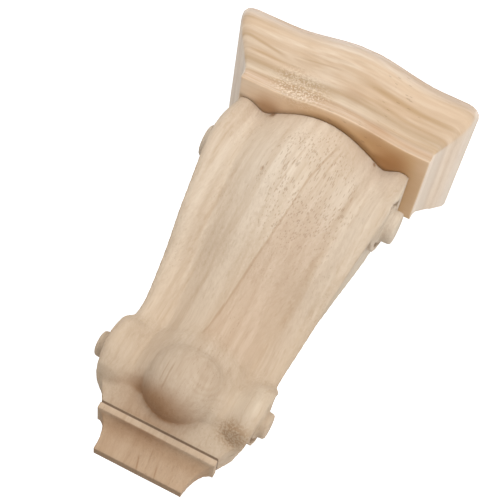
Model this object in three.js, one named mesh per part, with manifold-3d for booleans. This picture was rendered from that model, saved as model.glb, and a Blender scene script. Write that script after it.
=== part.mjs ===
// A carved wood corbel: a moulded crown block on a scrolled body with a swelling belly.
// Millimetres, +Z up, the front faces -Y and the flat back lies in the plane Y = 0.
// Heights are counted from the underside of the foot, and the origin is raised to the wall mount.

import * as THREE from 'three';
import { mergeVertices } from 'three/addons/utils/BufferGeometryUtils.js';
import Module from 'manifold-3d';

const wasm = await Module();
wasm.setup();

// Whole corbel
const totalHeight = 156.5;
const mountHeight = 80;
const jointGap = 0.3;

// Crown block: a serpentine front over an ogee on three sides, set slightly off the body's middle
const crownHeight = 15.1;
const crownWidth = 94.2;
const crownDepth = 59.6;
const crownShift = 2.6;
const crownShiftBelow = 2;
const crownBow = 5;
const crownBowHalfWidth = 30;
const crownBowShift = 2.5;
const crownFrontOverhang = 21;
const crownEndOverhang = 8.5;
const crownBowLossBelow = 1.8;
const ogeeStart = 0.5;
const ogeeHeight = 11;
const crownCornerRadius = 5.2;
const crownCornerRadiusBelow = 1;
const crownTopRound = 0.6;
const crownRoundBend = 0.3;
const crownUnderRound = 0.5;

// Foot: a fillet over a deep cove, returned on both sides
const footHalfWidth = 16.7;
const footDepth = 4.4;
const footSkew = -0.6;
const sideRunShare = 0.95;
const coveRun = 5.5;
const coveHeight = 11.4;
const filletStep = 0.4;
const filletTop = 13.7;
const quirkHeight = 0.9;
const quirkDepth = 1.2;
const sharpStep = 0.01;

// Collar that flares up into the scrolls
const collarFlare = 3.4;
const collarFlareHeight = 5.5;
const collarTop = 23.5;
const collarSideLimit = 9.6;

// Side profile of the two front ridges, as [height, depth]
const ridgeProfile = {
  crown: [141, 27.4],
  upperRoll: [114, 35.5],
  underRoll: [90, 28.3],
  sweep: [70, 17],
  waist: [53, 12.3],
  scrollTop: [47, 13.4],
  scrollFace: [41, 19.6],
  lowerRoll: [31, 23.2],
  curl: [22.5, 19.5],
  curlFoot: [19, 12],
  buried: [17, 8.5],
};

// Side profile of the valleys beside the ridges
const valleyProfile = {
  crown: [141, 23.6],
  upperRoll: [114, 31.7],
  underRoll: [90, 24.6],
  sweep: [70, 14],
  waist: [53, 10],
  scrollFace: [41, 15],
  lowerRoll: [31, 19],
  curl: [24, 16.8],
  curlFoot: [20.4, 12],
  buried: [18, 8],
};

// Side profile of the belly, which swells towards the ball at its foot
const bellyProfile = {
  crown: [141, 35.2],
  upperRoll: [113, 41],
  underRoll: [90, 33.4],
  sweep: [70, 22.6],
  waist: [54, 18.6],
  ballTop: [44, 23],
  ballFront: [31, 26.2],
  curl: [24, 21.5],
  curlFoot: [20.6, 12.8],
  buried: [18, 8.6],
};

// The ball, which sits low in the middle of the collar
const ballHalfWidth = 14.6;
const ballHalfDepth = 12.1;
const ballHalfHeight = 13.9;
const ballDepth = 15.6;
const ballHeight = 31;

const valleyShareAtCrown = 0.69;
const valleyShareAtScroll = 0.58;
const crestSpread = 0.25;
const ridgeEdgeRound = 1.3;
const frontTwist = 1.1;

// Half-width of the body from side face to side face, as [height, half-width]
const sideProfile = {
  crown: [141, 35],
  upperRoll: [128, 36.1],
  underRoll: [90, 32.2],
  sweep: [70, 29.6],
  waist: [48, 27.7],
  scrollTop: [45.2, 29.5],
  lowerRoll: [34, 29.8],
  curl: [21, 28.3],
  buried: [17, 23],
};

// Volutes on the side faces, each a round eye in a flat disc with a groove that winds in from the lip
const upperVolute = {
  depth: 22.4, height: 120, discRadius: 11.6,
  eyeRadius: 6.4, eyeProud: 4.2, leftEyeProud: 3,
  turnRadius: 8.6, grooveWidth: 2, startAngle: -1, openBy: 5, openTurn: 0.42,
};
const lowerVolute = {
  depth: 13, height: 31.8, discRadius: 9.3,
  eyeRadius: 4.8, eyeProud: 2.8, leftEyeProud: 3.4,
  turnRadius: 6.8, grooveWidth: 1.6, startAngle: 1.6, openBy: 4, openTurn: 0.5,
};
const voluteBedding = 2;
const eyeDome = 1.2;
const eyePip = 0.2;
const grooveDepth = 2.2;
const grooveTurns = 0.9;
const cutterReach = 3;

// The sunk field between and behind the volutes, with a lip left along the front
const fieldSink = 2.6;
const fieldLip = 4.2;
const fieldTop = 131;
const fieldFoot = 16;

// Fineness of the faceted solids, and the share of the front points that crowd towards the ridges
const edgeCrowding = 0.6;
const frontSteps = 34;
const bodySections = 48;
const crownFrontSteps = 24;
const cornerSteps = 4;
const ogeeSteps = 9;
const coveSteps = 7;
const ballSides = 36;
const ballRings = 24;
const voluteSteps = 28;
const grooveTail = 3;
const fieldSteps = 36;
const eyeSides = 24;
const eyeRings = 3;

const bodyTop = totalHeight - crownHeight - jointGap;

// A smooth curve through [height, value] pairs that never swings past them
function curveThrough(pairs) {
  const points = [...pairs].sort((a, b) => a[0] - b[0]);
  const slopes = points.slice(1).map((p, i) => (p[1] - points[i][1]) / (p[0] - points[i][0]));
  const tangents = points.map((p, i) => {
    if (i === 0 || i === points.length - 1) return slopes[Math.min(i, slopes.length - 1)];
    const before = slopes[i - 1];
    const after = slopes[i];
    return before * after > 0 ? (2 * before * after) / (before + after) : 0;
  });
  return (height) => {
    const last = points.length - 1;
    if (height <= points[0][0]) return points[0][1];
    if (height >= points[last][0]) return points[last][1];
    const i = points.findIndex((p, k) => k < last && height < points[k + 1][0]);
    const span = points[i + 1][0] - points[i][0];
    const t = (height - points[i][0]) / span;
    const rise = points[i + 1][1] - points[i][1];
    const startPull = span * tangents[i] * t * (1 - t) ** 2;
    const endPull = span * tangents[i + 1] * t * t * (1 - t);
    return points[i][1] + rise * t * t * (3 - 2 * t) + startPull - endPull;
  };
}

// Rings of equal length, lowest first and counterclockwise from above, closed at both ends
function loft(rings) {
  const count = rings[0].length;
  const positions = rings.flat().flatMap((p) => [p.x, p.y, p.z]);
  const indices = [];
  for (let level = 0; level < rings.length - 1; level++) {
    for (let i = 0; i < count; i++) {
      const next = (i + 1) % count;
      const a = level * count + i;
      const b = level * count + next;
      indices.push(a, b, b + count, a, b + count, a + count);
    }
  }
  const capOf = (ring) => THREE.ShapeUtils.triangulateShape(ring.map((p) => new THREE.Vector2(p.x, p.y)), []);
  for (const [a, b, c] of capOf(rings[0])) indices.push(a, c, b);
  const top = (rings.length - 1) * count;
  for (const [a, b, c] of capOf(rings[rings.length - 1])) indices.push(top + a, top + b, top + c);
  const geometry = new THREE.BufferGeometry();
  geometry.setAttribute('position', new THREE.Float32BufferAttribute(positions, 3));
  geometry.setIndex(indices);
  return geometry;
}

function solidOf(geometry) {
  const bare = geometry.clone();
  bare.deleteAttribute('normal');
  bare.deleteAttribute('uv');
  const merged = mergeVertices(bare, 1e-5);
  return new wasm.Manifold(new wasm.Mesh({
    numProp: 3,
    vertProperties: new Float32Array(merged.attributes.position.array),
    triVerts: new Uint32Array(merged.index.array),
  }));
}

function geometryOf(solid) {
  const mesh = solid.getMesh();
  const geometry = new THREE.BufferGeometry();
  geometry.setAttribute('position', new THREE.Float32BufferAttribute(mesh.vertProperties, 3));
  geometry.setIndex(new THREE.Uint32BufferAttribute(mesh.triVerts, 1));
  geometry.computeVertexNormals();
  return geometry;
}

// Crown block

// One level of the crown: share 0 is its full size at the top, share 1 its underside
function crownRing(height, share, inset) {
  const halfWidth = crownWidth / 2 - crownEndOverhang * share - inset;
  const depth = crownDepth - crownFrontOverhang * share - inset;
  const bow = crownBow - crownBowLossBelow * share;
  const radius = THREE.MathUtils.lerp(crownCornerRadius, crownCornerRadiusBelow, share);
  const middle = THREE.MathUtils.lerp(crownShift, crownShiftBelow, share);
  const ring = [];
  const addPoint = (x, y) => ring.push(new THREE.Vector3(middle + x, y, height));
  addPoint(halfWidth, 0);
  addPoint(-halfWidth, 0);
  const addCorner = (centreX, startAngle) => {
    for (let i = 0; i <= cornerSteps; i++) {
      const angle = startAngle + ((Math.PI / 2) * i) / cornerSteps;
      addPoint(centreX + radius * Math.cos(angle), -depth + radius + radius * Math.sin(angle));
    }
  };
  addCorner(-halfWidth + radius, Math.PI);
  const reach = halfWidth - radius;
  for (let i = 1; i < crownFrontSteps; i++) {
    const x = -reach + (2 * reach * i) / crownFrontSteps;
    const across = Math.min(1, Math.abs(x - crownBowShift) / crownBowHalfWidth);
    const swell = bow * (0.5 + 0.5 * Math.cos(Math.PI * across));
    addPoint(x, -depth - swell);
  }
  addCorner(halfWidth - radius, 1.5 * Math.PI);
  return ring;
}

function makeCrown() {
  const underside = totalHeight - crownHeight;
  const rings = [crownRing(underside, 1, crownUnderRound), crownRing(underside + crownUnderRound, 1, 0)];
  for (let i = ogeeSteps; i >= 0; i--) {
    const share = THREE.MathUtils.smoothstep(i / ogeeSteps, 0, 1);
    rings.push(crownRing(totalHeight - ogeeStart - crownTopRound - (ogeeHeight * i) / ogeeSteps, share, 0));
  }
  rings.push(crownRing(totalHeight - crownTopRound * crownRoundBend, 0, crownTopRound * crownRoundBend));
  rings.push(crownRing(totalHeight, 0, crownTopRound));
  return loft(rings);
}

// Body: belly, valleys and ridges swept down the side profile

const ridgeDepth = curveThrough(Object.values(ridgeProfile));
const valleyDepth = curveThrough(Object.values(valleyProfile));
const bellyDepth = curveThrough(Object.values(bellyProfile));
const halfWidthAt = curveThrough(Object.values(sideProfile));
const valleyShare = curveThrough([
  [ridgeProfile.crown[0], valleyShareAtCrown], [ridgeProfile.lowerRoll[0], valleyShareAtScroll],
]);
const twistAt = curveThrough([[ridgeProfile.waist[0], frontTwist], [ridgeProfile.curlFoot[0], 0]]);

// Depth of the carved front at a share of the half-width, at one height
function frontDepth(share, height) {
  const ridge = ridgeDepth(height);
  const valleyAt = valleyShare(height);
  const valley = Math.min(valleyDepth(height), ridge);
  const belly = bellyDepth(height);
  const crestAt = 1 - (1 - valleyAt) * crestSpread;
  const twist = twistAt(height) * share;
  const s = Math.abs(share);
  if (s <= valleyAt) {
    return valley + (belly - valley) * Math.cos((0.5 * Math.PI * s) / valleyAt) - twist;
  }
  if (s <= crestAt) {
    const up = (s - valleyAt) / (crestAt - valleyAt);
    return valley + (ridge - valley) * (0.5 - 0.5 * Math.cos(Math.PI * up)) - twist;
  }
  const over = (s - crestAt) / (1 - crestAt);
  return ridge - ridgeEdgeRound * over * over - twist;
}

function bodyRing(height) {
  const halfWidth = halfWidthAt(height);
  const ring = [new THREE.Vector3(halfWidth, 0, height), new THREE.Vector3(-halfWidth, 0, height)];
  for (let i = 0; i <= frontSteps; i++) {
    const even = (2 * i) / frontSteps - 1;
    const crowded = Math.sin((Math.PI / 2) * even);
    const share = THREE.MathUtils.lerp(even, crowded, edgeCrowding);
    ring.push(new THREE.Vector3(share * halfWidth, -frontDepth(share, height), height));
  }
  return ring;
}

// Section heights that are evenly spaced along the ridge rather than along Z
function sectionHeights() {
  const fine = 400;
  const low = ridgeProfile.buried[0];
  const travelled = [0];
  for (let i = 1; i <= fine; i++) {
    const step = (bodyTop - low) / fine;
    const run = ridgeDepth(low + i * step) - ridgeDepth(low + (i - 1) * step);
    travelled.push(travelled[i - 1] + Math.hypot(step, run));
  }
  return Array.from({ length: bodySections + 1 }, (_, k) => {
    const target = (travelled[fine] * k) / bodySections;
    const i = Math.min(fine, travelled.findIndex((t) => t >= target - 1e-9));
    return low + ((bodyTop - low) * i) / fine;
  });
}

function makeScrolledBody() {
  return loft(sectionHeights().map(bodyRing));
}

function makeBall() {
  const geometry = new THREE.SphereGeometry(1, ballSides, ballRings);
  geometry.scale(ballHalfWidth, ballHalfDepth, ballHalfHeight);
  geometry.translate(0, -ballDepth, ballHeight);
  return geometry;
}

// Foot, fillet, quirk and collar as one stack of rectangles, stepped out equally on three sides
function makeFoot() {
  const rings = [];
  const addLevel = (height, out) => {
    const halfWidth = footHalfWidth + sideRunShare * Math.min(out, collarSideLimit);
    const middle = footSkew * Math.max(0, 1 - height / coveHeight);
    const depth = footDepth + out;
    rings.push([
      new THREE.Vector3(middle + halfWidth, 0, height),
      new THREE.Vector3(middle - halfWidth, 0, height),
      new THREE.Vector3(middle - halfWidth, -depth, height),
      new THREE.Vector3(middle + halfWidth, -depth, height),
    ]);
  };
  for (let i = 0; i <= coveSteps; i++) {
    const angle = ((Math.PI / 2) * i) / coveSteps;
    addLevel(coveHeight * Math.sin(angle), coveRun * (1 - Math.cos(angle)));
  }
  const filletOut = coveRun + filletStep;
  addLevel(coveHeight + sharpStep, filletOut);
  addLevel(filletTop, filletOut);
  addLevel(filletTop + sharpStep, filletOut - quirkDepth);
  addLevel(filletTop + quirkHeight, filletOut - quirkDepth);
  const collarFoot = filletTop + quirkHeight + sharpStep;
  addLevel(collarFoot, filletOut);
  addLevel(collarFoot + collarFlareHeight, filletOut + collarFlare);
  addLevel(collarTop, filletOut + collarFlare * ((collarTop - collarFoot) / collarFlareHeight));
  return loft(rings);
}

// Carving of the side faces

// A thick shape drawn in (depth, height), laid along a side face that tapers with height
function layOnSide(outline, sink, proud, side) {
  const geometry = new THREE.ExtrudeGeometry(outline, { depth: sink + proud, bevelEnabled: false });
  const position = geometry.attributes.position;
  for (let i = 0; i < position.count; i++) {
    const depth = position.getX(i);
    const height = position.getY(i);
    const out = halfWidthAt(height) - sink + position.getZ(i);
    position.setXYZ(i, side * out, -depth, height);
  }
  if (side > 0) flipFaces(geometry);
  return geometry;
}

function flipFaces(geometry) {
  const position = geometry.attributes.position;
  for (let i = 0; i < position.count; i += 3) {
    const x = position.getX(i);
    const y = position.getY(i);
    const z = position.getZ(i);
    position.setXYZ(i, position.getX(i + 1), position.getY(i + 1), position.getZ(i + 1));
    position.setXYZ(i + 1, x, y, z);
  }
}

// The groove that winds round an eye: it starts inside the lip and tightens to one even turn
function voluteGroove(volute) {
  const outer = [];
  const inner = [];
  for (let i = 0; i <= voluteSteps; i++) {
    const turned = (2 * Math.PI * grooveTurns * i) / voluteSteps;
    const angle = volute.startAngle + turned;
    const radius = volute.turnRadius + volute.openBy * Math.exp(-turned / volute.openTurn);
    const width = volute.grooveWidth * Math.min(1, (voluteSteps - i + 0.5) / grooveTail);
    const place = (r) => new THREE.Vector2(
      volute.depth + r * Math.cos(angle),
      volute.height + r * Math.sin(angle),
    );
    outer.push(place(radius + width / 2));
    inner.push(place(radius - width / 2));
  }
  return new THREE.Shape([...outer, ...inner.reverse()]);
}

// How far forward the sunk field reaches: up to the lip, or to the back of a volute's disc
function fieldFront(height) {
  const limits = [ridgeDepth(height) - fieldLip];
  for (const volute of [upperVolute, lowerVolute]) {
    const rise = height - volute.height;
    const halfChord = Math.sqrt(Math.max(0, volute.discRadius ** 2 - rise ** 2));
    if (halfChord > 0) limits.push(volute.depth - halfChord);
  }
  return Math.max(cutterReach / 2, Math.min(...limits));
}

// What is cut away from one side face to sink the field, open to the back and below
function fieldCutter(side) {
  const rings = [];
  for (let i = 0; i <= fieldSteps; i++) {
    const height = fieldFoot + ((fieldTop - fieldFoot) * i) / fieldSteps;
    const floor = side * (halfWidthAt(height) - fieldSink);
    const outside = side * (halfWidthAt(height) + cutterReach);
    const front = -fieldFront(height);
    const ring = [
      new THREE.Vector3(outside, cutterReach, height), new THREE.Vector3(floor, cutterReach, height),
      new THREE.Vector3(floor, front, height), new THREE.Vector3(outside, front, height),
    ];
    rings.push(side > 0 ? ring : ring.reverse());
  }
  return loft(rings);
}

// The eye: a short round button with a domed face
function voluteEye(volute, side) {
  const profile = [new THREE.Vector2(0, 0), new THREE.Vector2(volute.eyeRadius, 0)];
  const reach = voluteBedding + (side < 0 ? volute.leftEyeProud : volute.eyeProud);
  for (let i = 0; i <= eyeRings; i++) {
    const angle = ((Math.PI / 2) * i) / eyeRings;
    const radius = volute.eyeRadius - eyeDome * (1 - Math.cos(angle));
    profile.push(new THREE.Vector2(radius, reach - eyeDome * (1 - Math.sin(angle))));
  }
  profile.push(new THREE.Vector2(0, reach + eyePip));
  const geometry = new THREE.LatheGeometry(profile, eyeSides);
  geometry.rotateZ(side * -Math.PI / 2);
  geometry.translate(side * (halfWidthAt(volute.height) - voluteBedding), -volute.depth, volute.height);
  return geometry;
}

function makeBody() {
  let body = solidOf(makeScrolledBody()).add(solidOf(makeBall()));
  for (const side of [-1, 1]) {
    body = body.subtract(solidOf(fieldCutter(side)));
    for (const volute of [upperVolute, lowerVolute]) {
      body = body.subtract(solidOf(layOnSide(voluteGroove(volute), grooveDepth, cutterReach, side)));
      body = body.add(solidOf(voluteEye(volute, side)));
    }
  }
  return geometryOf(body.add(solidOf(makeFoot())));
}

const crownWood = new THREE.MeshStandardMaterial({ color: 0xd9bb92, roughness: 0.78, metalness: 0 });
const bodyWood = new THREE.MeshStandardMaterial({ color: 0xdcc4a5, roughness: 0.8, metalness: 0 });

const corbel = new THREE.Group();
const crown = new THREE.Mesh(makeCrown(), crownWood);
crown.name = 'crown';
const body = new THREE.Mesh(makeBody(), bodyWood);
body.name = 'body';
corbel.add(crown, body);
corbel.position.z = -mountHeight;

export default corbel;
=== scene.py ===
import math

import bpy
from mathutils import Matrix, Vector


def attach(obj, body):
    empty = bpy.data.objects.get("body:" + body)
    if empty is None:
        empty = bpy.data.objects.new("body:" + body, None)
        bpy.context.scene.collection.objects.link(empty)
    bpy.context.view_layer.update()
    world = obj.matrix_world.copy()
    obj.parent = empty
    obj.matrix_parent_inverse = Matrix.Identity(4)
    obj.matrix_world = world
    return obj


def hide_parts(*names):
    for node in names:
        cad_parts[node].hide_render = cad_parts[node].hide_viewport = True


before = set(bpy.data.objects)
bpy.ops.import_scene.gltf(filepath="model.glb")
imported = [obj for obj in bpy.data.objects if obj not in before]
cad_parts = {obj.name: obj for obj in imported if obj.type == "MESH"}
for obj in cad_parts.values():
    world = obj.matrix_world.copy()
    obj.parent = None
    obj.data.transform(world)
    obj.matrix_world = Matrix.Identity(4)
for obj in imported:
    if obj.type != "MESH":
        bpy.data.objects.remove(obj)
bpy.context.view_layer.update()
print("frame loaded:", ", ".join(sorted(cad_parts)))


# where the picture was taken from, in metres
picture = {
    "cameraPlace": (0.0714, -0.4261, -0.2333),
    "aimPoint": (-0.0014, -0.0300, 0.0009),
    "rollDegrees": 30.94,
    "lensMm": 96.47,
    "sensorMm": 36,
    "clipStart": 0.01,
}

studio = {
    "floorHeight": -0.34,
    "floorSize": 6.0,
    "floorColour": (0.78, 0.78, 0.78, 1),
    "floorRoughness": 0.9,
    "backdropDistance": 2.5,
    "backdropSize": 9.0,
    "backdropColour": (1, 1, 1, 1),
    "backdropGlow": 1.0,
    "worldColour": (1.0, 0.99, 0.98, 1),
    "worldStrength": 0.30,
    "lights": {    # place, size, watts
        "rightKey": ((0.45, -0.70, 0.00), 0.40, 2.70),
        "frontLight": ((-0.03, -0.32, 0.15), 0.25, 0.28),
        "leftFront": ((-0.16, -0.32, 0.05), 0.25, 0.38),
        "leftSide": ((-0.75, -0.35, 0.05), 0.45, 0.62),
        "rightSide": ((0.75, -0.12, -0.05), 0.45, 1.00),
        "lowFill": ((0.32, -0.50, -0.35), 0.45, 0.90),
    },
}


def deselectAll():
    if bpy.context.mode != "OBJECT":
        bpy.ops.object.mode_set(mode="OBJECT")
    bpy.ops.object.select_all(action="DESELECT")


def pickOnly(piece):
    deselectAll()
    piece.select_set(True)
    bpy.context.view_layer.objects.active = piece


def applyModifier(piece, modifier):
    pickOnly(piece)
    bpy.ops.object.modifier_apply(modifier=modifier.name)


# small helpers for wiring node trees
def addNode(tree, kind, settings=None, **sockets):
    node = tree.nodes.new(kind)
    for name, value in (settings or {}).items():
        setattr(node, name, value)
    for name, value in sockets.items():
        putIn(tree, node.inputs[name], value)
    return node


def putIn(tree, socket, value):    # a socket is linked, anything else is typed in
    if isinstance(value, bpy.types.NodeSocket):
        tree.links.new(value, socket)
    else:
        socket.default_value = value


def doMath(tree, operation, first, second=0.0, clamp=False):
    node = addNode(tree, "ShaderNodeMath", {"operation": operation, "use_clamp": clamp})
    putIn(tree, node.inputs[0], first)
    putIn(tree, node.inputs[1], second)
    return node.outputs[0]


def product(tree, first, *others):
    for other in others:
        first = doMath(tree, "MULTIPLY", first, other)
    return first


def distanceFrom(tree, value, middle):
    return doMath(tree, "ABSOLUTE", doMath(tree, "SUBTRACT", value, middle))


def doVector(tree, operation, first, second=(0, 0, 0)):
    node = addNode(tree, "ShaderNodeVectorMath", {"operation": operation})
    putIn(tree, node.inputs[0], first)
    putIn(tree, node.inputs[1], second)
    return node.outputs["Value" if operation in ("LENGTH", "DOT_PRODUCT") else "Vector"]


def remap(tree, value, edges, toLow=0.0, toHigh=1.0):    # eases over from the first edge to the second
    node = addNode(tree, "ShaderNodeMapRange", {"interpolation_type": "SMOOTHSTEP"}, Value=value)
    for label, number in zip(("From Min", "From Max", "To Min", "To Max"), (*edges, toLow, toHigh)):
        putIn(tree, node.inputs[label], number)
    return node.outputs["Result"]


def between(tree, value, oneEnd, otherEnd):    # one between two eased ends, nothing past them
    return product(tree, remap(tree, value, oneEnd), remap(tree, value, otherEnd))


def noiseOf(tree, vector, scale, detail=2.0, roughness=0.5):
    node = addNode(tree, "ShaderNodeTexNoise", Vector=vector, Scale=scale, Detail=detail,
                   Roughness=roughness)
    return node.outputs["Fac"]


def stretched(tree, vector, scale, shift=(0, 0, 0)):
    return addNode(tree, "ShaderNodeMapping", Vector=vector, Scale=scale, Location=shift).outputs["Vector"]


def blendColour(tree, factor, under, over, kind="MIX"):    # sockets 6, 7 and 2 are the colour ones
    node = addNode(tree, "ShaderNodeMix", {"data_type": "RGBA", "blend_type": kind})
    putIn(tree, node.inputs[0], factor)
    putIn(tree, node.inputs[6], under)
    putIn(tree, node.inputs[7], over)
    return node.outputs[2]


def tinted(tree, mask, colour, tint):
    return blendColour(tree, mask, colour, tint, "MULTIPLY")


def newGroup(name, inputs, outputs):
    tree = bpy.data.node_groups.new(name, "ShaderNodeTree")
    for label, kind in inputs:
        tree.interface.new_socket(label, in_out="INPUT", socket_type=kind)
    for label, kind in outputs:
        tree.interface.new_socket(label, in_out="OUTPUT", socket_type=kind)
    return tree, addNode(tree, "NodeGroupInput").outputs, addNode(tree, "NodeGroupOutput").inputs


def useGroup(tree, group, **sockets):
    node = addNode(tree, "ShaderNodeGroup", {"node_tree": group})
    for name, value in sockets.items():
        putIn(tree, node.inputs[name], value)
    return node.outputs


floatKind = "NodeSocketFloat"
vectorKind = "NodeSocketVector"

# the grain of both pieces, as it runs along Z
grainShape = {
    "wanderScale": 11.0,
    "wanderDetail": 1.0,
    "wander": (0.004, 0.004, 0.0),       # how far the grain strays sideways
    "layers": {    # stretch, shift, detail, roughness, edges
        "Streaks": ((1, 0.12, 0.04), (0, 0, 0), 3.0, 0.6, (0.40, 0.60)),
        "Bands": ((1, 0.12, 0.04), (3, 1, 2), 1.5, 0.5, (0.48, 0.62)),
        "Vessels": ((1, 0.7, 0.045), (1, 5, 3), 2.0, 0.5, (0.56, 0.68)),
        "Fibre": ((1, 1, 0.035), (0, 0, 0), 3.0, 0.6, (0.34, 0.66)),
    },
    "vesselScale": 800.0,
    "fibreScale": 1500.0,
    "ringSquash": (1, 1, 0.02),
    "ringEnds": ((0.25, 0.85), (1.0, 0.86)),
    "poreStretch": (1, 1, 0.13),
    "poreScale": 1900.0,
    "poreEdge": (0.0, 0.12),
    "poreChance": (0.05, 0.75),
    "crowdStretch": (1, 1, 0.35),
    "crowdShift": (7, 2, 4),
    "crowdScale": 55.0,
    "crowdEdges": (0.40, 0.62),
    "crowdMost": 0.6,
    "mottleStretch": (1, 1, 0.5),
    "mottle": (420.0, 4.0, 0.65),        # scale, detail, roughness
    "fibreRise": 0.5,                    # how far fibre and mottle lift the surface, for a pore of 1
    "mottleRise": 0.6,
}


# streaks, bands, thin vessel lines, growth rings about a far pith, fibre, pores and mottle
def makeWoodGrain():
    shape = grainShape
    tree, given, result = newGroup(
        "woodGrain",
        [("Vector", vectorKind), ("Pith", vectorKind), ("StreakScale", floatKind), ("BandScale", floatKind),
         ("RingWidth", floatKind), ("PoreReach", floatKind), ("Crowding", floatKind)],
        [("Streaks", floatKind), ("Bands", floatKind), ("Vessels", floatKind), ("Rings", floatKind),
         ("Fibre", floatKind), ("Pores", floatKind), ("Mottle", floatKind)],
    )
    place = given["Vector"]
    wander = addNode(tree, "ShaderNodeTexNoise", Vector=place, Scale=shape["wanderScale"],
                     Detail=shape["wanderDetail"])
    aside = doVector(tree, "SUBTRACT", wander.outputs["Color"], (0.5, 0.5, 0.5))
    wavy = doVector(tree, "ADD", place, doVector(tree, "MULTIPLY", aside, shape["wander"]))

    scales = {
        "Streaks": given["StreakScale"], "Bands": given["BandScale"],
        "Vessels": shape["vesselScale"], "Fibre": shape["fibreScale"],
    }
    for name, (stretch, shift, detail, roughness, edges) in shape["layers"].items():
        layer = noiseOf(tree, stretched(tree, wavy, stretch, shift), scales[name], detail, roughness)
        putIn(tree, result[name], remap(tree, layer, edges))

    fromPith = doVector(tree, "SUBTRACT", wavy, given["Pith"])
    reach = doVector(tree, "LENGTH", doVector(tree, "MULTIPLY", fromPith, shape["ringSquash"]))
    turns = doMath(tree, "DIVIDE", reach, given["RingWidth"])
    putIn(tree, result["Rings"], between(tree, doMath(tree, "FRACT", turns), *shape["ringEnds"]))

    cellPlace = stretched(tree, wavy, shape["poreStretch"])
    cells = addNode(tree, "ShaderNodeTexVoronoi", Vector=cellPlace, Scale=shape["poreScale"]).outputs
    chance = addNode(tree, "ShaderNodeSeparateColor", Color=cells["Color"]).outputs["Red"]
    crowdPlace = stretched(tree, place, shape["crowdStretch"], shape["crowdShift"])
    crowd = noiseOf(tree, crowdPlace, shape["crowdScale"])
    crowd = remap(tree, crowd, shape["crowdEdges"], 0.0, shape["crowdMost"])
    crowded = doMath(tree, "ADD", crowd, given["Crowding"], True)
    size = product(tree, crowded, given["PoreReach"], remap(tree, chance, shape["poreChance"]))
    dash = remap(tree, doMath(tree, "SUBTRACT", size, cells["Distance"]), shape["poreEdge"])
    putIn(tree, result["Pores"], dash)
    mottlePlace = stretched(tree, place, shape["mottleStretch"])
    putIn(tree, result["Mottle"], noiseOf(tree, mottlePlace, *shape["mottle"]))
    return tree


# a soft-edged round mark about one point, for knots, pin holes, rough patches and patches of painted light
# and shade
def makeSpotMark():
    tree, given, result = newGroup(
        "spotMark",
        [("Vector", vectorKind), ("Centre", vectorKind), ("Squash", vectorKind), ("Radius", floatKind),
         ("Core", floatKind)],
        [("Mask", floatKind)],
    )
    offset = doVector(tree, "SUBTRACT", given["Vector"], given["Centre"])
    away = doVector(tree, "LENGTH", doVector(tree, "MULTIPLY", offset, given["Squash"]))
    solid = product(tree, given["Radius"], given["Core"])
    putIn(tree, result["Mask"], remap(tree, away, (given["Radius"], solid)))
    return tree


# one long darker grain line, with its place across the grain given at its middle
def makeGrainLine():
    solidShare = 0.4    # of its half length, before it starts to fade
    labels = ("Along", "Across", "Middle", "Place", "Lean", "HalfLength", "HalfWidth")
    inputs = [(label, floatKind) for label in labels]
    tree, given, result = newGroup("grainLine", inputs, [("Mask", floatKind)])
    along = doMath(tree, "SUBTRACT", given["Along"], given["Middle"])
    path = doMath(tree, "ADD", given["Place"], product(tree, along, given["Lean"]))
    core = remap(tree, distanceFrom(tree, given["Across"], path), (given["HalfWidth"], 0.0))
    ends = (given["HalfLength"], product(tree, given["HalfLength"], solidShare))
    fade = remap(tree, doMath(tree, "ABSOLUTE", along), ends)
    putIn(tree, result["Mask"], product(tree, core, fade))
    return tree


woodGrain = makeWoodGrain()
spotMark = makeSpotMark()
grainLine = makeGrainLine()
print("grain and mark groups built")


def startMaterial(name, look):
    material = bpy.data.materials.new(name)
    material.use_nodes = True
    tree = material.node_tree
    shader = tree.nodes["Principled BSDF"]
    shader.inputs["Roughness"].default_value = look["roughness"]
    shader.inputs["Specular IOR Level"].default_value = look["shine"]
    coords = addNode(tree, "ShaderNodeTexCoord").outputs
    return material, tree, shader, coords["Object"], coords["Normal"]


def splitUp(tree, vector):
    return addNode(tree, "ShaderNodeSeparateXYZ", Vector=vector).outputs


def grainOf(tree, look, place, crowding):
    return useGroup(tree, woodGrain, Vector=place, Pith=look["pith"], StreakScale=look["streakScale"],
                    BandScale=look["bandScale"], RingWidth=look["ringWidth"], PoreReach=look["poreReach"],
                    Crowding=crowding)


def spotOf(tree, place, centre, squash, radius, core):
    return useGroup(tree, spotMark, Vector=place, Centre=centre, Squash=squash, Radius=radius,
                    Core=core)["Mask"]


def lineOf(tree, along, across, place, middle, lean, halfLength, halfWidth):
    return useGroup(tree, grainLine, Along=along, Across=across, Middle=middle, Place=place, Lean=lean,
                    HalfLength=halfLength, HalfWidth=halfWidth)["Mask"]


def laidOver(tree, look, mask, depth, colour, name="brown"):
    return blendColour(tree, product(tree, mask, depth), colour, look[name])


def woodColour(tree, look, grain, light, dark, streakMask):
    colour = blendColour(tree, streakMask, light, dark)
    for layer in ("Rings", "Vessels", "Fibre", "Mottle"):
        colour = laidOver(tree, look, grain[layer], look[layer.lower()], colour)
    return colour


def woodHeight(tree, grain):
    fibre = product(tree, grain["Fibre"], grainShape["fibreRise"])
    mottle = product(tree, grain["Mottle"], grainShape["mottleRise"])
    return doMath(tree, "ADD", doMath(tree, "SUBTRACT", fibre, grain["Pores"]), mottle)


def finishMaterial(tree, look, shader, colour, height):
    tree.links.new(colour, shader.inputs["Base Color"])
    bump = addNode(tree, "ShaderNodeBump", Height=height, Distance=look["bumpMm"] / 1000, Strength=1.0)
    tree.links.new(bump.outputs["Normal"], shader.inputs["Normal"])


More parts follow.
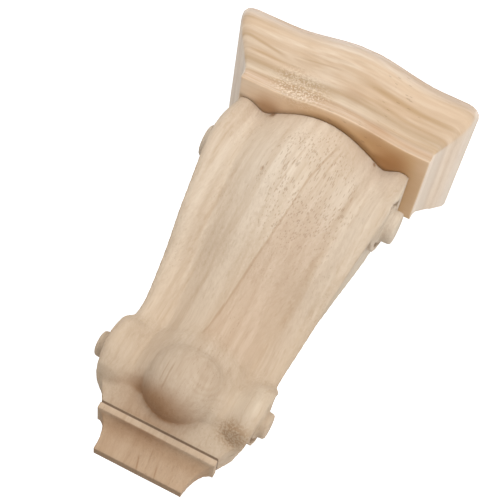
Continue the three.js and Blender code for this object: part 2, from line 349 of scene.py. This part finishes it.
# places are in metres from the origin, and a spot is centre, squash, radius and the share that is solid
bodyLook = {
    "cream": (0.665, 0.572, 0.462, 1),
    "tan": (0.52, 0.41, 0.30, 1),
    "brown": (0.36, 0.23, 0.13, 1),
    "pore": (0.33, 0.21, 0.125, 1),
    "roughness": 0.80,
    "shine": 0.25,
    "bumpMm": 0.07,

    # how strongly each layer of the grain shows
    "streaks": 0.46, "bands": 0.10, "vessels": 0.16, "rings": 0.07, "fibre": 0.13, "mottle": 0.12,
    "pores": 0.40,
    "streakScale": 200.0,
    "bandScale": 80.0,
    "ringWidth": 0.0042,
    "pith": (0.090, 0.020, 0.0),
    "poreReach": 0.46,
    "poreField": ((0.0050, -0.0365, 0.0340), (1.0, 0.3, 0.75), 0.0230, 0.4),    # where pores lie closest

    # the right of the front is a warmer tone, with a dark line along its edge
    "toneTint": (0.94, 0.90, 0.88, 1),
    "toneEdgeFoot": 0.0017,                      # x of the edge at the origin's height
    "toneEdgeLean": 0.132,
    "toneRagged": 0.0010,
    "toneAcross": ((-0.0004, 0.0006), (0.024, 0.010)),
    "toneUp": ((0.040, 0.010), (-0.038, -0.028)),
    "toneLineEdges": (0.0007, 0.0001),
    "toneLineUp": ((0.058, 0.045), (-0.034, -0.028)),
    "toneLineDepth": 0.42,

    "lines": {    # x at the middle height, middle height, lean, half length, half width, depth of colour
        "besideTone": (0.0095, 0.0406, 0.058, 0.016, 0.0006, 0.38),
        "bellyLine": (-0.0022, 0.0340, 0.086, 0.015, 0.0006, 0.34),
        "leftStreak": (-0.0209, 0.0210, 0.060, 0.030, 0.0014, 0.24),
        "farLeft": (-0.0300, 0.0350, 0.0, 0.012, 0.0006, 0.32),
        "leftLow": (-0.0244, 0.0080, -0.050, 0.018, 0.0011, 0.14),
        "rightSoft": (0.0192, 0.0034, 0.0, 0.026, 0.0026, 0.30),
        "rightUpper": (0.0208, 0.0317, 0.130, 0.014, 0.0016, 0.22),
        "ballLeft": (-0.0041, -0.0540, 0.0, 0.006, 0.0005, 0.42),
        "ballFarLeft": (-0.0060, -0.0525, 0.0, 0.005, 0.0004, 0.36),
        "footLeft": (-0.0017, -0.0775, -0.300, 0.0034, 0.0005, 0.70),
        "footMiddle": (0.0012, -0.0735, -0.100, 0.0030, 0.0004, 0.40),
        "footRight": (0.0052, -0.0778, -0.250, 0.0026, 0.0004, 0.55),
    },
    "lineBreaks": (0.30, 0.55),                  # the mottle over which a line goes from faint to full
    "lineFaint": 0.5,

    # the ball is plainer than the belly, with cut growth layers about its tip
    "ballFade": (-0.034, -0.044),
    "ballStreaks": 0.45,
    "ballTan": 0.24,
    "ballTip": ((0.0089, -0.0243, -0.0461), (1, 0.5, 0.9), 0.0100, 0.6),
    "layerTilt": (-0.45, 1.0, -0.20),
    "layerWidth": 0.0010,
    "layerEdges": (0.42, 0.05),
    "layerDepth": 0.13,
    # painted shade darkens the ball and painted light brightens the right scroll
    "shadeAndLightSpots": {    # spot, tint
        "ball": (((0.0, -0.0156, -0.0490), (1, 1, 1), 0.0190, 0.62), (0.905, 0.90, 0.905, 1)),
        "rightScrollLight": (((0.0235, -0.0230, -0.0430), (1, 1, 0.8), 0.0130, 0.3), (1.09, 1.13, 1.16, 1)),
    },

    # darker towards the foot, and again at the foot and collar
    "lowFade": (0.045, -0.030),
    "lowTint": (0.94, 0.89, 0.835, 1),
    "footFade": (-0.062, -0.074),
    "footTint": (0.82, 0.73, 0.655, 1),
    "coveUp": ((-0.0684, -0.0692), (-0.0750, -0.0705)),    # the shade just under the fillet
    "coveTint": (0.86, 0.79, 0.72, 1),

    "seatShade": ((-0.0050, -0.0150, -0.0610), (0.8, 1, 1), 0.0170, 0.25),    # painted shade in the crease where the ball meets the collar
    "seatShadeFacing": (-0.20, -0.85),
    "seatShadeDepth": 0.90,
    "seatShadeTint": (0.60, 0.40, 0.25, 1),
    "underFacing": (-0.6, -0.95),                # the underside of the foot: darker end grain, with painted shade where it faces down
    "underFade": (-0.074, -0.078),
    "underDepth": 0.6,
    "underGrainAndShade": (0.30, 0.19, 0.11, 1),
    "quirkHeight": -0.06585,                     # the middle of the dark line painted as the shade in the quirk between collar and foot
    "quirkEdges": (0.000588, 0.00021),
    "quirkDepth": 0.85,
    "quirkShade": (0.10, 0.055, 0.03, 1),

    "marks": {    # centre, radius, depth of colour
        "knot": ((-0.0114, -0.0381, 0.0286), 0.0011, 0.50),
        "pinHole": ((0.0214, -0.0254, 0.0598), 0.0011, 0.95),
        # painted shade in the cavity where the left valley meets the crown, sunk a little
        "leftCornerShade": ((-0.0209, -0.0268, 0.0604), 0.0021, 0.95),
    },
    "markSquash": (1, 1, 0.7),
    "markCore": 0.2,
    "markSink": 3.0,                             # against a pore's depth
    # torn end grain under the right scroll, with painted shade of the scroll's underside over it
    "tornGrainAndShadeSpot": ((0.0232, -0.0167, -0.0586), (0.8, 1, 1), 0.0076, 0.3),
    "tornDepth": 0.92,
    "fleckScale": 1300.0,
    "fleckEdges": (0.42, 0.58),
    "fleckFaint": 0.38,
}


def warmTone(tree, look, axes, grain, colour):
    edge = doMath(tree, "ADD", product(tree, axes["Z"], look["toneEdgeLean"]), look["toneEdgeFoot"])
    ragged = product(tree, doMath(tree, "SUBTRACT", grain["Streaks"], 0.5), look["toneRagged"])
    offEdge = doMath(tree, "ADD", doMath(tree, "SUBTRACT", axes["X"], edge), ragged)
    toneSide = between(tree, offEdge, *look["toneAcross"])
    tone = product(tree, toneSide, between(tree, axes["Z"], *look["toneUp"]))
    colour = tinted(tree, tone, colour, look["toneTint"])
    line = remap(tree, doMath(tree, "ABSOLUTE", offEdge), look["toneLineEdges"])
    line = product(tree, line, between(tree, axes["Z"], *look["toneLineUp"]))
    return laidOver(tree, look, line, look["toneLineDepth"], colour)


def cutLayers(tree, look, place, colour):
    along = doVector(tree, "DOT_PRODUCT", place, look["layerTilt"])
    turns = doMath(tree, "DIVIDE", along, look["layerWidth"])
    offMiddle = distanceFrom(tree, doMath(tree, "FRACT", turns), 0.5)
    layers = remap(tree, offMiddle, look["layerEdges"], 0.0, look["layerDepth"])
    return laidOver(tree, look, layers, spotOf(tree, place, *look["ballTip"]), colour)


def makeBodyWood():
    look = bodyLook
    material, tree, shader, place, normal = startMaterial("bodyWood", look)
    axes = splitUp(tree, place)
    facing = splitUp(tree, normal)
    grain = grainOf(tree, look, place, spotOf(tree, place, *look["poreField"]))
    calm = remap(tree, axes["Z"], look["ballFade"], 1.0, look["ballStreaks"])
    plain = remap(tree, axes["Z"], look["ballFade"], 0.0, look["ballTan"])
    streaks = doMath(tree, "ADD", product(tree, grain["Streaks"], look["streaks"], calm), plain)
    colour = woodColour(tree, look, grain, look["cream"], look["tan"], streaks)

    colour = warmTone(tree, look, axes, grain, colour)
    for *line, depth in look["lines"].values():
        broken = remap(tree, grain["Mottle"], look["lineBreaks"], depth * look["lineFaint"], depth)
        colour = laidOver(tree, look, lineOf(tree, axes["Z"], axes["X"], *line), broken, colour)
    colour = cutLayers(tree, look, place, colour)
    colour = laidOver(tree, look, grain["Bands"], look["bands"], colour)

    colour = tinted(tree, remap(tree, axes["Z"], look["lowFade"]), colour, look["lowTint"])
    # painted shade on the ball, painted light on the right scroll
    for spot, tint in look["shadeAndLightSpots"].values():
        colour = tinted(tree, spotOf(tree, place, *spot), colour, tint)
    colour = tinted(tree, remap(tree, axes["Z"], look["footFade"]), colour, look["footTint"])
    colour = tinted(tree, between(tree, axes["Z"], *look["coveUp"]), colour, look["coveTint"])
    # painted shade on the downward faces in the crease where the ball meets the collar
    downward = remap(tree, facing["Z"], look["seatShadeFacing"])
    seatShade = product(tree, spotOf(tree, place, *look["seatShade"]), downward, look["seatShadeDepth"])
    colour = tinted(tree, seatShade, colour, look["seatShadeTint"])
    # darker end grain and painted shade on the downward faces of the foot
    under = remap(tree, facing["Z"], look["underFacing"])
    under = product(tree, under, remap(tree, axes["Z"], look["underFade"]))
    colour = laidOver(tree, look, under, look["underDepth"], colour, "underGrainAndShade")
    # painted shade in the quirk groove
    quirk = remap(tree, distanceFrom(tree, axes["Z"], look["quirkHeight"]), look["quirkEdges"])
    colour = laidOver(tree, look, quirk, look["quirkDepth"], colour, "quirkShade")
    colour = laidOver(tree, look, grain["Pores"], look["pores"], colour, "pore")

    height = woodHeight(tree, grain)
    # the knot and pin hole are marks in the wood; the third mark is painted shade in the cavity under the
    # crown's left corner
    for centre, radius, depth in look["marks"].values():
        mark = spotOf(tree, place, centre, look["markSquash"], radius, look["markCore"])
        colour = laidOver(tree, look, mark, depth, colour, "pore")
        height = doMath(tree, "SUBTRACT", height, product(tree, mark, look["markSink"]))
    flecks = remap(tree, noiseOf(tree, place, look["fleckScale"]), look["fleckEdges"], look["fleckFaint"])
    # torn end grain, darkened as a whole by painted shade of the scroll's underside
    torn = product(tree, spotOf(tree, place, *look["tornGrainAndShadeSpot"]), flecks)
    colour = laidOver(tree, look, torn, look["tornDepth"], colour)
    finishMaterial(tree, look, shader, colour, doMath(tree, "SUBTRACT", height, torn))
    return material


crownLook = {
    "cream": (0.93, 0.785, 0.63, 1),
    "gold": (0.76, 0.56, 0.38, 1),
    "brown": (0.50, 0.30, 0.13, 1),
    "pore": (0.34, 0.20, 0.11, 1),
    "roughness": 0.78,
    "shine": 0.25,
    "bumpMm": 0.06,

    # how strongly each layer of the grain shows
    "streaks": 0.62, "bands": 0.22, "vessels": 0.24, "rings": 0.14, "fibre": 0.12, "mottle": 0.12,
    "pores": 0.35,
    "streakScale": 700.0,
    "bandScale": 260.0,
    "ringWidth": 0.0021,
    "pith": (-0.150, 0.020, 0.0),
    "poreReach": 0.34,
    "crowding": 0.25,
    "layerShare": 0.28,                          # how much the grain's layers change from front to back
    "goldFade": (0.004, 0.026),                  # the right half is more golden
    "goldMost": 0.38,
    "lines": {    # z at the middle, middle x, lean, half length, half width, depth of colour
        "rightUpper": (0.0702, 0.0270, 0.0, 0.026, 0.00078, 0.62),
        "rightLower": (0.0684, 0.0290, -0.012, 0.024, 0.00062, 0.40),
        "leftUpper": (0.0704, -0.0330, -0.050, 0.013, 0.00042, 0.55),
        "leftLower": (0.0690, -0.0270, 0.0, 0.016, 0.00030, 0.40),
        "middle": (0.0705, -0.0105, 0.0, 0.014, 0.00022, 0.35),
    },

    # painted shade on the crown's faces turned to the front
    "frontFacing": (-0.55, -0.95),
    "frontShadeTint": (0.77, 0.77, 0.80, 1),
    "fasciaFade": (0.0686, 0.0674),              # painted shade on the narrow upright face under the ogee
    "fasciaShadeTint": (0.88, 0.84, 0.79, 1),
    "hollowMiddle": 0.0666,                      # painted shade in the hollow of the ogee
    "hollowEdges": (0.0023, 0.00069),
    "hollowShadeTint": (0.80, 0.78, 0.74, 1),
    # painted shade along the top rim
    "rimFade": (0.0725, 0.0743),
    "rimShadeTint": (0.81, 0.82, 0.85, 1),
    "endFacing": (0.45, 0.75),
    "endMost": 0.7,
    "endTint": (0.76, 0.67, 0.585, 1),

    # painted shade: the underside is browner near the body
    "soffitFacing": (-0.93, -0.99),
    "soffitMost": 0.70,
    "soffitNear": (-0.046, -0.034),
    "soffitLeft": ((-0.034, 0.006), 0.30, 1.0),
    "soffitRight": ((0.032, 0.040), 1.0, 0.6),
    "soffitShadeTint": (0.58, 0.34, 0.14, 1),
    # painted shade along the line where the body meets the underside, which swells like the belly
    "seamValley": 0.0236,
    "seamSwell": 0.0116,
    "seamSpan": 0.024,
    "seamRidge": 0.0038,
    "seamEdges": (0.0038, 0.0003),
    "seamLeft": ((-0.014, 0.006), 0.6, 1.2),
    "seamRight": ((0.018, 0.031), 1.0, 0.1),
    "seamShadeTint": (0.56, 0.48, 0.40, 1),
    # painted contact shadows at the corners and under the right where the body meets the underside;
    # duskyPatch is a darker patch on the ogee's front
    "contacts": {    # centre, radius, depth of colour
        "leftCorner": ((-0.0240, -0.0280, 0.0610), 0.0090, 0.55),
        "rightCorner": ((0.0270, -0.0290, 0.0610), 0.0115, 0.72),
        "underRight": ((0.0180, -0.0370, 0.0610), 0.0090, 0.30),
        "duskyPatch": ((0.0055, -0.0470, 0.0680), 0.0060, 0.16),
    },
    "contactCore": 0.1,
    "contactTint": (0.36, 0.16, 0.05, 1),

    # cutter chatter at the left of the ogee: torn dark flecks and raised pale fuzz
    "chatter": ((-0.0145, -0.0415, 0.0655), (0.75, 1, 1.6), 0.0115, 0.3),
    "fleckStretch": (0.7, 1, 1),
    "fleckScale": 1900.0,
    "fleckDetail": 1.0,
    "tornEdges": (0.52, 0.60),
    "tornDepth": 0.26,
    "tornSink": 2.5,
    "fuzzEdges": (0.48, 0.40),
    "fuzzDepth": 0.42,
    "fuzz": (0.96, 0.84, 0.66, 1),
}


def undersideShade(tree, look, place, axes, facing, colour):
    # painted shade on the underside near the body
    soffit = remap(tree, facing["Z"], look["soffitFacing"], 0.0, look["soffitMost"])
    nearBody = remap(tree, axes["Y"], look["soffitNear"])
    leftSide = remap(tree, axes["X"], *look["soffitLeft"])
    rightSide = remap(tree, axes["X"], *look["soffitRight"])
    soffitShadeMask = product(tree, soffit, nearBody, leftSide, rightSide)
    colour = blendColour(tree, soffitShadeMask, colour, look["soffitShadeTint"])

    # painted shade along the seam with the body
    swell = doMath(tree, "COSINE", product(tree, axes["X"], 0.5 * math.pi / look["seamSpan"]))
    bodyFront = doMath(tree, "MAXIMUM", product(tree, swell, look["seamSwell"]), look["seamRidge"])
    forward = product(tree, axes["Y"], -1.0)
    ahead = doMath(tree, "SUBTRACT", forward, doMath(tree, "ADD", bodyFront, look["seamValley"]))
    seam = product(tree, remap(tree, ahead, look["seamEdges"]), soffit)
    for side in ("seamLeft", "seamRight"):
        seam = product(tree, seam, remap(tree, axes["X"], *look[side]))
    colour = tinted(tree, seam, colour, look["seamShadeTint"])
    # painted contact shadows under the crown, and the darker patch on the ogee's front
    for centre, radius, depth in look["contacts"].values():
        dusk = spotOf(tree, place, centre, (1, 1, 1), radius, look["contactCore"])
        colour = laidOver(tree, look, dusk, depth, colour, "contactTint")
    return colour


def makeCrownWood():
    look = crownLook
    material, tree, shader, place, normal = startMaterial("crownWood", look)
    axes = splitUp(tree, place)
    facing = splitUp(tree, normal)
    shallow = product(tree, axes["Y"], look["layerShare"])
    alongX = addNode(tree, "ShaderNodeCombineXYZ", X=axes["Z"], Y=shallow, Z=axes["X"]).outputs["Vector"]
    grain = grainOf(tree, look, alongX, look["crowding"])
    streaks = product(tree, grain["Streaks"], look["streaks"])
    colour = woodColour(tree, look, grain, look["cream"], look["gold"], streaks)
    colour = laidOver(tree, look, grain["Bands"], look["bands"], colour)
    golden = remap(tree, axes["X"], look["goldFade"], 0.0, look["goldMost"])
    colour = blendColour(tree, golden, colour, look["gold"])
    for *line, depth in look["lines"].values():
        colour = laidOver(tree, look, lineOf(tree, axes["X"], axes["Z"], *line), depth, colour)

    # painted shade on faces turned to the front
    frontFace = remap(tree, facing["Y"], look["frontFacing"])
    colour = tinted(tree, frontFace, colour, look["frontShadeTint"])
    fascia = product(tree, frontFace, remap(tree, axes["Z"], look["fasciaFade"]))
    # painted shade on the fascia
    colour = tinted(tree, fascia, colour, look["fasciaShadeTint"])
    hollow = remap(tree, distanceFrom(tree, axes["Z"], look["hollowMiddle"]), look["hollowEdges"])
    # painted shade in the ogee's hollow
    colour = tinted(tree, hollow, colour, look["hollowShadeTint"])
    # painted shade along the top rim
    colour = tinted(tree, remap(tree, axes["Z"], look["rimFade"]), colour, look["rimShadeTint"])
    endGrain = remap(tree, doMath(tree, "ABSOLUTE", facing["X"]), look["endFacing"], 0.0, look["endMost"])
    colour = blendColour(tree, endGrain, colour, look["endTint"])
    colour = undersideShade(tree, look, place, axes, facing, colour)
    colour = laidOver(tree, look, grain["Pores"], look["pores"], colour, "pore")

    chatter = spotOf(tree, place, *look["chatter"])
    fleckPlace = stretched(tree, place, look["fleckStretch"])
    fleck = noiseOf(tree, fleckPlace, look["fleckScale"], look["fleckDetail"])
    torn = product(tree, chatter, remap(tree, fleck, look["tornEdges"]))
    fuzz = product(tree, chatter, remap(tree, fleck, look["fuzzEdges"]))
    colour = laidOver(tree, look, torn, look["tornDepth"], colour)
    colour = laidOver(tree, look, fuzz, look["fuzzDepth"], colour, "fuzz")
    height = doMath(tree, "SUBTRACT", woodHeight(tree, grain), product(tree, torn, look["tornSink"]))
    finishMaterial(tree, look, shader, colour, height)
    return material


# how the carved pieces are finished: a fine mesh, sanded faces, eased edges and hand-sanding waves
sanding = {
    "mergeDistance": 1e-6,
    "cell": 0.00042,
    "strength": 0.5,
    "flatPasses": 18,
    "edgePasses": 1,
    "sharpDegrees": 14,
    "triangleLimit": 190000,
}
carving = {
    "crown": {"name": "mouldedCrown", "slot": "crown_wood", "waveSize": 0.018, "waveHeight": 0.00012},
    "body": {"name": "scrolledBody", "slot": "body_wood", "waveSize": 0.020, "waveHeight": 0.00016},
}


def markFlats(piece):    # only the flats are sanded hard, so the edges stay crisp
    mesh = piece.data
    limit = math.cos(math.radians(sanding["sharpDegrees"]))
    flats = [True] * len(mesh.vertices)
    normals = [v.normal for v in mesh.vertices]
    for face in mesh.polygons:
        for corner in face.vertices:
            if normals[corner].dot(face.normal) < limit:
                flats[corner] = False
    group = piece.vertex_groups.new(name="flats")
    group.add([i for i, flat in enumerate(flats) if flat], 1.0, "REPLACE")
    return group.name


def smooth(piece, name, passes, groupName=""):
    modifier = piece.modifiers.new(name, "SMOOTH")
    modifier.factor = sanding["strength"]
    modifier.iterations = passes
    modifier.vertex_group = groupName
    applyModifier(piece, modifier)


def addWaves(piece, look):
    clouds = bpy.data.textures.new(look["name"] + "Waves", "CLOUDS")
    clouds.noise_scale = look["waveSize"]
    waves = piece.modifiers.new("handWaves", "DISPLACE")
    waves.texture = clouds
    waves.strength = look["waveHeight"]
    waves.mid_level = 0.5
    applyModifier(piece, waves)


def sandedCopy(nodeName, material):
    look = carving[nodeName]
    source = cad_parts[nodeName]
    piece = source.copy()
    piece.data = source.data.copy()
    piece.name = look["name"]
    bpy.context.scene.collection.objects.link(piece)
    pickOnly(piece)
    bpy.ops.object.mode_set(mode="EDIT")
    bpy.ops.mesh.select_all(action="SELECT")
    bpy.ops.mesh.remove_doubles(threshold=sanding["mergeDistance"])
    bpy.ops.object.mode_set(mode="OBJECT")

    fine = piece.modifiers.new("fineMesh", "REMESH")
    fine.mode = "VOXEL"
    fine.voxel_size = sanding["cell"]
    applyModifier(piece, fine)
    smooth(piece, "sanding", sanding["flatPasses"], markFlats(piece))
    smooth(piece, "easedEdges", sanding["edgePasses"])
    addWaves(piece, look)
    triangles = 2 * len(piece.data.polygons)
    if triangles > sanding["triangleLimit"]:
        thinning = piece.modifiers.new("thinning", "DECIMATE")
        thinning.ratio = sanding["triangleLimit"] / triangles
        applyModifier(piece, thinning)
    piece.vertex_groups.clear()
    pickOnly(piece)
    bpy.ops.object.shade_smooth()
    piece.data.materials.clear()
    piece.data.materials.append(material)
    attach(piece, "root")
    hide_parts(nodeName)
    print(look["name"], "carved,", len(piece.data.polygons), "faces")


def newShader(name):
    material = bpy.data.materials.new(name)
    material.use_nodes = True
    return material, material.node_tree.nodes["Principled BSDF"].inputs


def paleFloor():
    material, shader = newShader("paleFloor")
    shader["Base Color"].default_value = studio["floorColour"]
    shader["Roughness"].default_value = studio["floorRoughness"]
    return material


def glowingWhite():
    material, shader = newShader("whiteBackdrop")
    shader["Emission Color"].default_value = studio["backdropColour"]
    shader["Emission Strength"].default_value = studio["backdropGlow"]
    return material


def stagePlane(name, size, place, tilt, material):
    deselectAll()
    bpy.ops.mesh.primitive_plane_add(size=size, location=place, rotation=(tilt, 0, 0))
    plane = bpy.context.object
    plane.name = name
    plane.data.materials.append(material)


def areaLight(name, place, size, watts):
    deselectAll()
    bpy.ops.object.light_add(type="AREA", location=place)
    light = bpy.context.object
    light.name = name
    light.data.size = size
    light.data.energy = watts
    towards = Vector(picture["aimPoint"]) - Vector(place)
    light.rotation_euler = towards.to_track_quat("-Z", "Y").to_euler()


def setStudio():
    stagePlane("floor", studio["floorSize"], (0, 0, studio["floorHeight"]), 0, paleFloor())
    world = bpy.data.worlds.new("softRoom")
    bpy.context.scene.world = world
    world.use_nodes = True
    background = world.node_tree.nodes["Background"]
    background.inputs["Color"].default_value = studio["worldColour"]
    background.inputs["Strength"].default_value = studio["worldStrength"]
    for name, (place, size, watts) in studio["lights"].items():
        areaLight(name, place, size, watts)
    upright = math.radians(90)
    behind = (0, studio["backdropDistance"], 0)
    stagePlane("backdrop", studio["backdropSize"], behind, upright, glowingWhite())
    bpy.context.scene.view_settings.view_transform = "Standard"
    print("studio set")


def setCamera():
    place = Vector(picture["cameraPlace"])
    towards = Vector(picture["aimPoint"]) - place
    deselectAll()
    bpy.ops.object.camera_add(location=place)
    camera = bpy.context.object
    camera.name = "pictureCamera"
    turn = towards.to_track_quat("-Z", "Y").to_matrix().to_4x4()
    roll = turn @ Matrix.Rotation(math.radians(picture["rollDegrees"]), 4, "Z")
    camera.rotation_euler = roll.to_euler()
    camera.data.sensor_width = picture["sensorMm"]
    camera.data.lens = picture["lensMm"]
    camera.data.clip_start = picture["clipStart"]
    bpy.context.scene.camera = camera
    print("camera set")


setCamera()
setStudio()
sandedCopy("crown", makeCrownWood())
sandedCopy("body", makeBodyWood())
